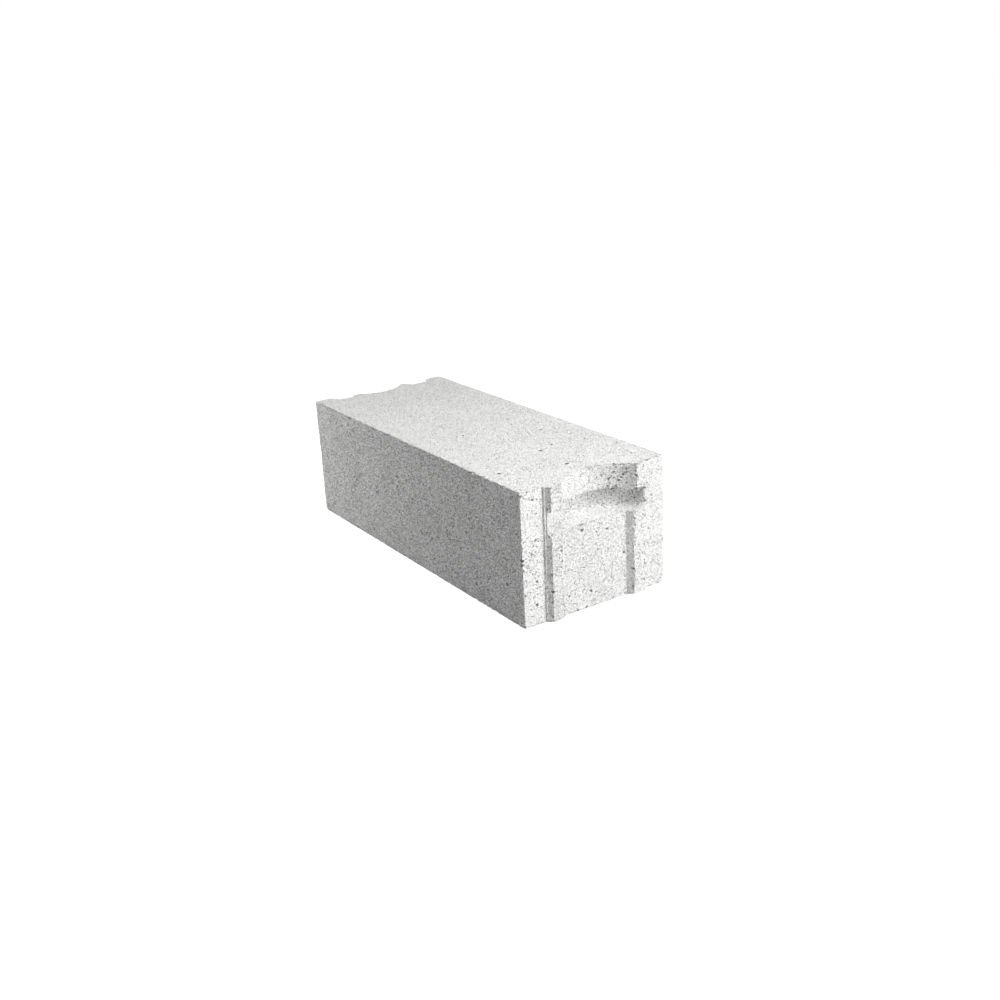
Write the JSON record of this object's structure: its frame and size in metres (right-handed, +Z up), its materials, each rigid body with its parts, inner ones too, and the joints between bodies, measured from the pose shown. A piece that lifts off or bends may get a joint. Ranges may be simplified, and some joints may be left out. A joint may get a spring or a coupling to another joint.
{
  "type": "aerated concrete block",
  "caption": "Aerated concrete wall block with tongues at one end, grooves at the other and a stepped grip pocket in each end.",
  "frame": {"origin": "middle of the bounding box's bottom, on the bed face that the block lies on", "axes": "+Y along the length, from the tongued end to the grooved end; +X across the width; +Z up, through the block's height"},
  "size_m": [0.25, 0.6334, 0.2],
  "materials": {
    "aerated_concrete": "matt, fine open pores"
  },
  "bodies": {
    "root": {"aerated_block": "aerated_concrete"}
  },
  "joints": []
}
